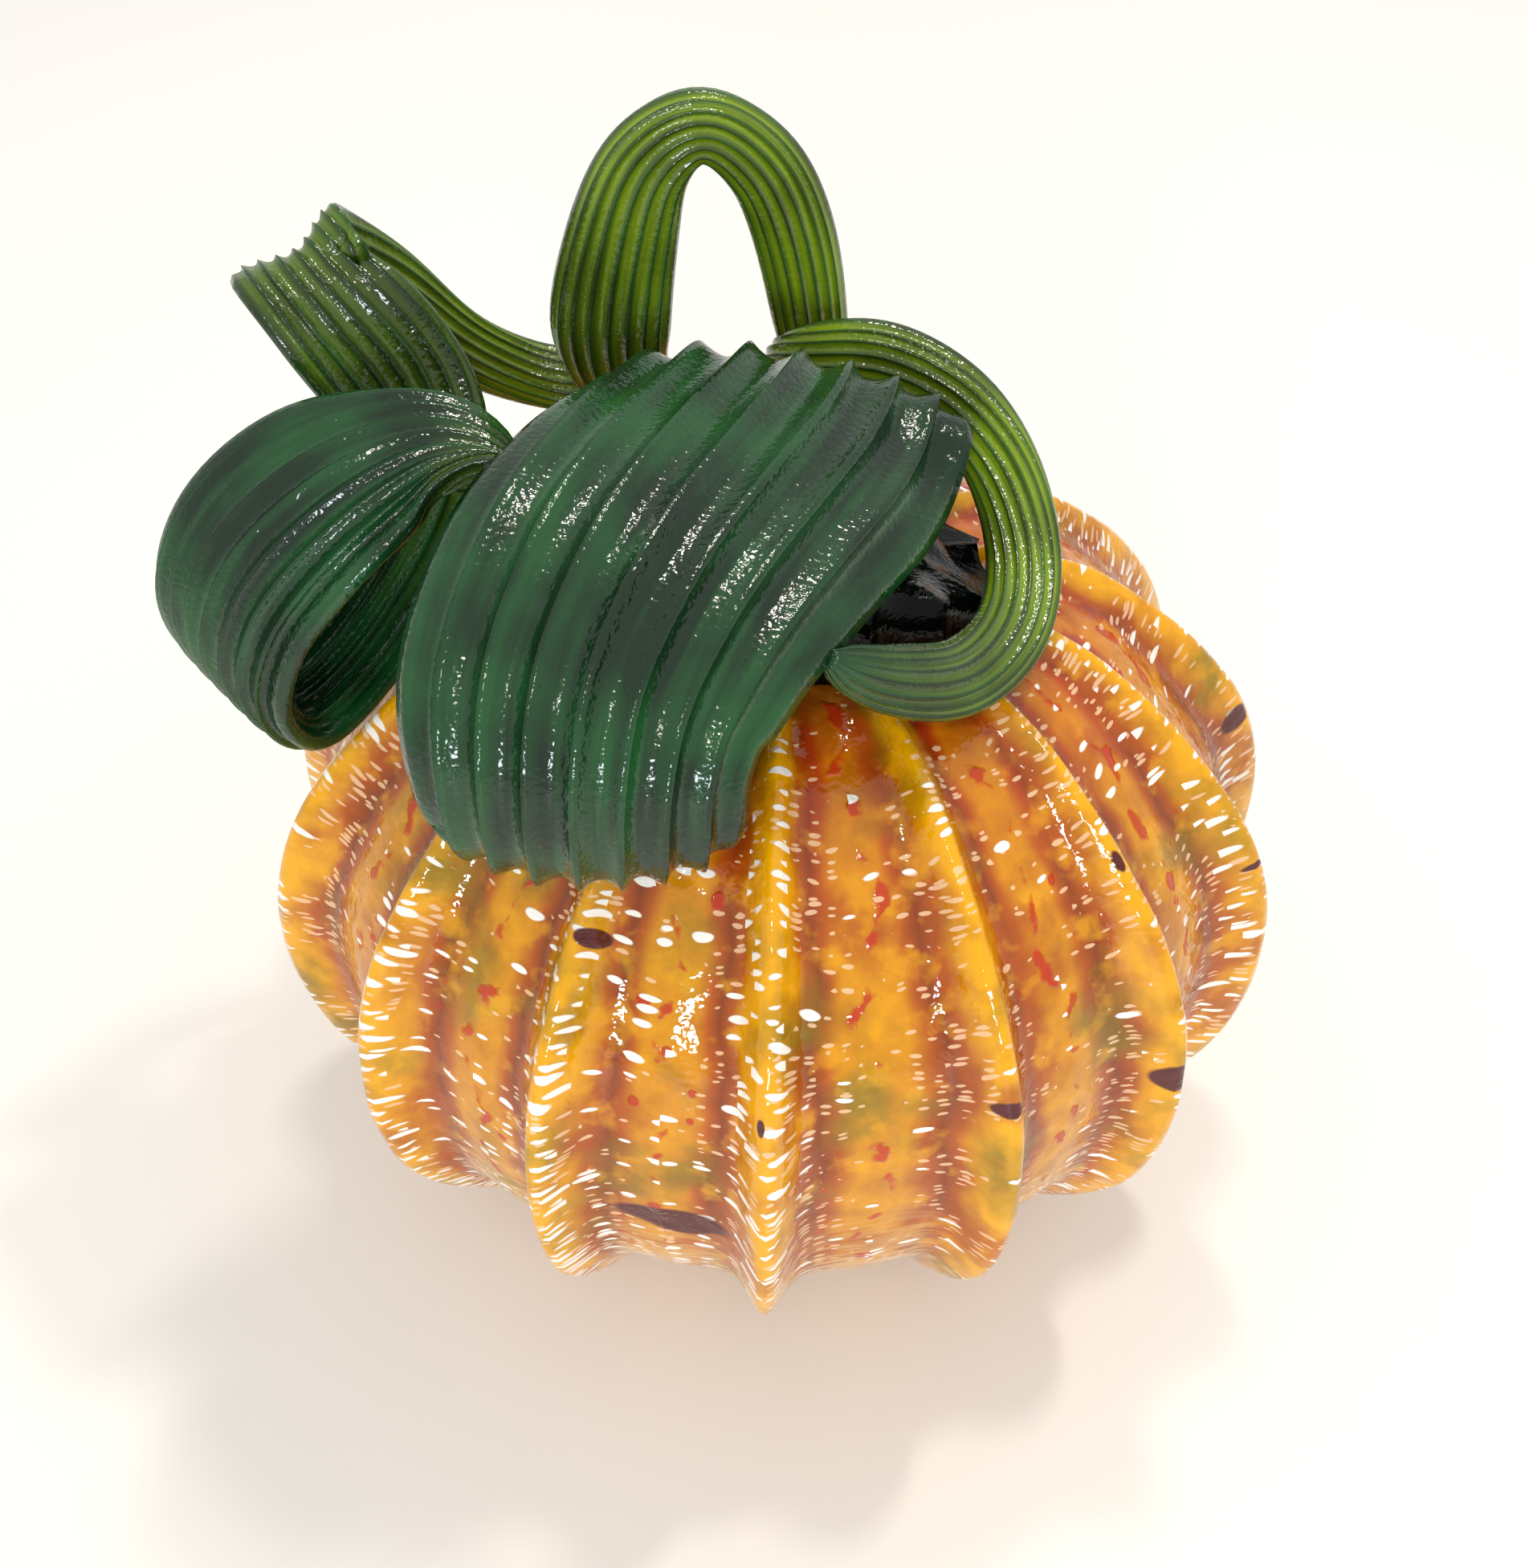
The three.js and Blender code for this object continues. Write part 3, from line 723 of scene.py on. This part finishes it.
    # Red glass: a thread that wanders down each valley and comes and goes, with drops beside it.
    slow = node(tree, "ShaderNodeVectorMath", {0: by_valley, 1: (0, 1 / 14, 0)}, operation="MULTIPLY")
    swing = node(tree, "ShaderNodeTexNoise", {"Vector": slow, "Scale": 1.0, "Detail": 3.0})
    swing = node(tree, "ShaderNodeMapRange", {"Value": swing, "To Min": -7.0, "To Max": 7.0})
    side = node(tree, "ShaderNodeMath", {0: across_valley, 1: swing}, operation="SUBTRACT")
    side = node(tree, "ShaderNodeMath", {0: side}, operation="ABSOLUTE")
    lumps = node(tree, "ShaderNodeVectorMath", {0: by_valley, 1: (1 / 5, 1 / 5, 0)}, operation="MULTIPLY")
    inputs = {"Vector": lumps, "Scale": 1.0, "Detail": 3.0}
    lumps = node(tree, "ShaderNodeTexNoise", inputs, noise_dimensions="2D")
    inputs = {"Value": lumps, "From Min": 0.47, "From Max": 0.72, "To Max": 1.5}
    width = node(tree, "ShaderNodeMapRange", inputs)
    thread = node(tree, "ShaderNodeMath", {0: width, 1: side}, operation="SUBTRACT")
    thread = node(tree, "ShaderNodeMapRange", {"Value": thread, "From Max": 0.6})
    drops = scattered(tree, by_valley, (3.2, 4.2), 0.3, 0.07)
    inward = node(tree, "ShaderNodeMapRange", {"Value": from_crest, "From Min": 0.4, "From Max": 0.6})
    drops = node(tree, "ShaderNodeMath", {0: drops, 1: inward}, operation="MULTIPLY")
    red = node(tree, "ShaderNodeMath", {0: thread, 1: drops}, operation="MAXIMUM")
    red = node(tree, "ShaderNodeMath", {0: red, 1: 0.85}, operation="MULTIPLY")
    tint = tinted(tree, red.outputs[0], tint, settings.red)

    # The shoulder is darker and redder, where the hot stem drew the colours together.
    inputs = {"Value": along, "From Min": 128.0, "From Max": 150.0, "To Max": 0.5}
    shoulder = node(tree, "ShaderNodeMapRange", inputs)
    shoulder = node(tree, "ShaderNodeMath", {0: shoulder, 1: deep}, operation="MULTIPLY")
    tint = tinted(tree, shoulder.outputs[0], tint, settings.red)

    # Fine pale frit, about 1.2 by 0.5 mm, down the sides and low in the valleys.
    inputs = {"Value": from_crest, "From Min": 0.9, "From Max": 0.3, "To Max": 0.75}
    flank = node(tree, "ShaderNodeMapRange", inputs)
    flank = node(tree, "ShaderNodeMath", {0: flank, 1: low}, operation="MAXIMUM")
    cloud = node(tree, "ShaderNodeMapRange", {"Value": wander, "From Min": -0.12, "From Max": 0.12})
    flank = node(tree, "ShaderNodeMath", {0: flank, 1: cloud}, operation="MULTIPLY")
    dust = scattered(tree, by_crest, (1.9, 0.85), 0.4, flank.outputs[0])
    faint = node(tree, "ShaderNodeMath", {0: dust, 1: 0.75}, operation="MULTIPLY")
    tint = tinted(tree, faint.outputs[0], tint, settings.dust)

    # White frit, up to 3 by 1 mm: thick on the crests and low down, with strays elsewhere.
    share = node(tree, "ShaderNodeMath", {0: rib, 1: 1 / RIB_COUNT}, operation="MULTIPLY")
    strewn = node(tree, "ShaderNodeFloatCurve", {"Value": share})
    set_curve(strewn, [(i / RIB_COUNT, FRIT_SHARE[i % RIB_COUNT]) for i in range(RIB_COUNT + 1)])
    inputs = {"Value": from_crest, "From Min": 0.3, "From Max": 0.14, "To Min": 0.22}
    near = node(tree, "ShaderNodeMapRange", inputs)
    strewn = node(tree, "ShaderNodeMath", {0: strewn, 1: near}, operation="MULTIPLY")
    lower = node(tree, "ShaderNodeMath", {0: low, 1: 0.35}, operation="MULTIPLY")
    strewn = node(tree, "ShaderNodeMath", {0: strewn, 1: lower}, operation="ADD")
    frit = scattered(tree, by_crest, (3.8, 1.6), 0.37, strewn.outputs[0])
    tint = tinted(tree, frit, tint, settings.frit)

    # Dark chips, each with an uneven edge.
    chips = 0.0
    for number, row, half_length, half_height in CHIPS:
        spot = node(tree, "ShaderNodeMath", {0: rib, 1: float(number)}, operation="SUBTRACT")
        wrap = {0: spot, 1: RIB_COUNT / 2, 2: -RIB_COUNT / 2}
        spot = node(tree, "ShaderNodeMath", wrap, operation="WRAP")
        spot = node(tree, "ShaderNodeMath", {0: spot, 1: pitch}, operation="MULTIPLY")
        up = node(tree, "ShaderNodeMath", {0: along, 1: float(row)}, operation="SUBTRACT")
        spot = node(tree, "ShaderNodeCombineXYZ", {0: spot, 1: up})
        scale = (1 / half_length, 1 / half_height, 0)
        spot = node(tree, "ShaderNodeVectorMath", {0: spot, 1: scale}, operation="MULTIPLY")
        reach = node(tree, "ShaderNodeVectorMath", {0: spot}, operation="LENGTH").outputs["Value"]
        reach = node(tree, "ShaderNodeMath", {0: wander, 1: 1.6, 2: reach}, operation="MULTIPLY_ADD")
        inside = node(tree, "ShaderNodeMapRange", {"Value": reach, "From Min": 1.0, "From Max": 0.8})
        chips = node(tree, "ShaderNodeMath", {0: inside, 1: chips}, operation="MAXIMUM")
    tint = tinted(tree, chips.outputs[0], tint, settings.chip)

    # The frit stands a little proud, and the skin between is faintly pebbled.
    pebbles = node(tree, "ShaderNodeTexNoise", {"Vector": place, "Scale": 1 / (1.8 * MM), "Detail": 2.0})
    relief = node(tree, "ShaderNodeMath", {0: frit, 1: 0.35, 2: pebbles}, operation="MULTIPLY_ADD")
    relief = node(tree, "ShaderNodeMath", {0: red, 1: 0.8, 2: relief}, operation="MULTIPLY_ADD")
    bump = node(tree, "ShaderNodeBump", {"Height": relief, "Strength": 0.5, "Distance": 0.4 * MM})
    shader = node(
        tree,
        "ShaderNodeBsdfPrincipled",
        {
            "Base Color": tint,
            "Roughness": 0.05,
            "IOR": 1.52,
            "Normal": bump,
            "Subsurface Weight": 0.15,
            "Subsurface Radius": (1.0, 0.4, 0.1),
            "Subsurface Scale": 2 * MM,
        },
    )
    node(tree, "ShaderNodeOutputMaterial", {"Surface": shader})
    return material


def green_glass(settings):
    """Soda-lime art glass coloured through with copper and iron and pulled from a ribbed mould: nearly
    black where it is thick, partly painted shade on the trunk and seat under the fold, and yellow-green
    where it is drawn thin, partly a painted glow of light coming through. Its skin is slightly pebbled,
    because it chilled as it was pulled."""
    material, tree = new_material("soda_lime_green_glass")
    place = node(tree, "ShaderNodeTexCoord").outputs["Object"]
    tip = node(tree, "ShaderNodeAttribute", attribute_name="rib").outputs["Fac"]
    drawn = node(tree, "ShaderNodeAttribute", attribute_name="drawn").outputs["Fac"]
    pattern = node(tree, "ShaderNodeAttribute", attribute_name="pattern").outputs["Vector"]

    # Streaks 25 mm long and a third of a rib wide, and clouds 12 mm across.
    inputs = {0: pattern, 1: (3, 1 / (25 * MM), 0)}
    streaks = node(tree, "ShaderNodeVectorMath", inputs, operation="MULTIPLY")
    streaks = node(tree, "ShaderNodeTexNoise", {"Vector": streaks, "Scale": 1.0, "Detail": 3.0})
    clouds = node(tree, "ShaderNodeTexNoise", {"Vector": place, "Scale": 1 / (12 * MM), "Detail": 2.0})
    lit = node(tree, "ShaderNodeMath", {0: streaks, 1: clouds}, operation="ADD")
    lit = node(tree, "ShaderNodeMapRange", {"Value": lit, "From Min": 0.85, "From Max": 1.25})
    tint = tinted(tree, lit.outputs[0], settings.deep, settings.bright)

    # Thin glass is paler, and a painted glow of light coming through it lies between the ribs' dark edges,
    # stronger where the streaks are lit.
    inputs = {"Value": tip, "From Min": 0.75, "From Max": 0.1, "To Min": 0.15}
    painted_glow = node(tree, "ShaderNodeMapRange", inputs)
    painted_glow = node(tree, "ShaderNodeMath", {0: painted_glow, 1: drawn}, operation="MULTIPLY")
    through = node(tree, "ShaderNodeMapRange", {"Value": lit, "To Min": 0.45})
    painted_glow = node(tree, "ShaderNodeMath", {0: painted_glow, 1: through}, operation="MULTIPLY")
    tint = tinted(tree, painted_glow.outputs[0], tint, settings.thin)

    # The thick core is darker glass, and painted shade too: the trunk and seat under the fold are laid
    # almost black and their gloss is dimmed.
    thick = node(tree, "ShaderNodeAttribute", attribute_name="thick").outputs["Fac"]
    tint = tinted(tree, thick, tint, settings.core)
    skin = node(tree, "ShaderNodeMapRange", {"Value": thick, "To Min": 0.5, "To Max": 0.15})

    # Pebbles about 0.7 mm across.
    pebbles = node(tree, "ShaderNodeTexNoise", {"Vector": place, "Scale": 1 / (0.7 * MM), "Detail": 1.0})
    bump = node(tree, "ShaderNodeBump", {"Height": pebbles, "Strength": 0.5, "Distance": 0.25 * MM})
    shader = node(
        tree,
        "ShaderNodeBsdfPrincipled",
        {
            "Base Color": tint,
            "Roughness": 0.14,
            "IOR": 1.52,
            "Normal": bump,
            "Specular IOR Level": skin,
            "Subsurface Weight": 0.15,
            "Subsurface Radius": (0.4, 1.0, 0.3),
            "Subsurface Scale": 2 * MM,
        },
    )
    node(tree, "ShaderNodeOutputMaterial", {"Surface": shader})
    return material


# ---- stage ----------------------------------------------------------------------------------------
TABLE_HALF = 1.5
SKY = {"Color": (1.0, 0.995, 0.985, 1), "Strength": 0.74}
WARM = (1.0, 0.93, 0.84)
COOL = (0.86, 0.94, 1.0)
# What the lights point at, and each light's name, place and size in m, watts and tint.
LIT_SPOT = (0, 0, 0.06)
LIGHTS = (
    ("lamp_right", (0.24, 0.2, 0.82), (0.07, 0.07), 1.5, WARM),
    ("lamp_back", (0.02, 0.34, 0.8), (0.1, 0.07), 1.4, WARM),
    ("lamp_front", (-0.06, -0.6, 0.72), (0.09, 0.07), 1.0, WARM),
    ("window", (-0.12, -0.95, 0.3), (0.22, 0.12), 3.0, COOL),
)


def area_light(name, place, size, watts, tint):
    """A rectangular light that points at the lit spot."""
    light = bpy.data.lights.new(name, "AREA")
    light.shape = "RECTANGLE"
    light.size, light.size_y = size
    light.energy = watts
    light.color = tint
    lamp = bpy.data.objects.new(name, light)
    lamp.location = place
    lamp.rotation_euler = (Vector(LIT_SPOT) - Vector(place)).to_track_quat("-Z", "Y").to_euler()
    bpy.context.scene.collection.objects.link(lamp)


class MakeStage(bpy.types.Operator):
    """Sets the camera, the white table top and the studio lights"""

    bl_idname = "glass_pumpkin.make_stage"
    bl_label = "Make stage"

    def execute(self, context):
        settings = context.scene.glass_pumpkin_stage
        scene = context.scene
        camera = bpy.data.cameras.new("camera")
        camera.sensor_width = 36
        camera.lens = settings.focal
        camera.clip_start = 0.01
        viewer = bpy.data.objects.new("camera", camera)
        turn = Matrix.Rotation(settings.azimuth, 4, "Z")
        turn = turn @ Matrix.Rotation(math.pi / 2 - settings.elevation, 4, "X")
        turn = turn @ Matrix.Rotation(settings.roll, 4, "Z")
        back = turn @ Vector((0, 0, settings.distance))
        aim = Vector((settings.aim_side, 0, settings.aim_height))
        viewer.matrix_world = Matrix.Translation(aim + back) @ turn
        scene.collection.objects.link(viewer)
        scene.camera = viewer

        mesh = bpy.data.meshes.new("table_top")
        signs = ((-1, -1), (1, -1), (1, 1), (-1, 1))
        corners = [(x * TABLE_HALF, y * TABLE_HALF, 0) for x, y in signs]
        mesh.from_pydata(corners, [], [(0, 1, 2, 3)])
        material, tree = new_material("white_laminate")
        inputs = {"Base Color": (*settings.floor, 1), "Roughness": 0.5}
        shader = node(tree, "ShaderNodeBsdfPrincipled", inputs)
        node(tree, "ShaderNodeOutputMaterial", {"Surface": shader})
        mesh.materials.append(material)
        new_piece("table_top", mesh)

        world = bpy.data.worlds.new("studio")
        scene.world = world
        world.use_nodes = True
        world.node_tree.nodes.clear()
        sky = node(world.node_tree, "ShaderNodeBackground", SKY)
        node(world.node_tree, "ShaderNodeOutputWorld", {"Surface": sky})
        for name, place, size, watts, tint in LIGHTS:
            area_light(name, place, size, watts, tint)
        scene.view_settings.view_transform = "Standard"
        return {"FINISHED"}


# ---- add-on ---------------------------------------------------------------------------------------
class PumpkinPanel(bpy.types.Panel):
    """Lists the makers of the glass pumpkin"""

    bl_idname = "VIEW3D_PT_glass_pumpkin"
    bl_label = "Glass pumpkin"
    bl_space_type = "VIEW_3D"
    bl_region_type = "UI"
    bl_category = "Glass pumpkin"

    def draw(self, context):
        for maker in MAKERS:
            self.layout.operator(maker.bl_idname)


MAKERS = (MakeStage, MakeBody, MakeStem)
SETTINGS = {
    "glass_pumpkin_body": BodySettings,
    "glass_pumpkin_stem": StemSettings,
    "glass_pumpkin_stage": StageSettings,
}


def register():
    for one in (*SETTINGS.values(), *MAKERS, PumpkinPanel):
        bpy.utils.register_class(one)
    for name, settings in SETTINGS.items():
        setattr(bpy.types.Scene, name, PointerProperty(type=settings))


def unregister():
    for name in SETTINGS:
        delattr(bpy.types.Scene, name)
    for one in (PumpkinPanel, *reversed(MAKERS), *reversed(SETTINGS.values())):
        bpy.utils.unregister_class(one)


def main():
    register()
    bpy.ops.glass_pumpkin.make_stage()
    bpy.ops.glass_pumpkin.make_body()
    bpy.ops.glass_pumpkin.make_stem()


if __name__ == "__main__":
    main()
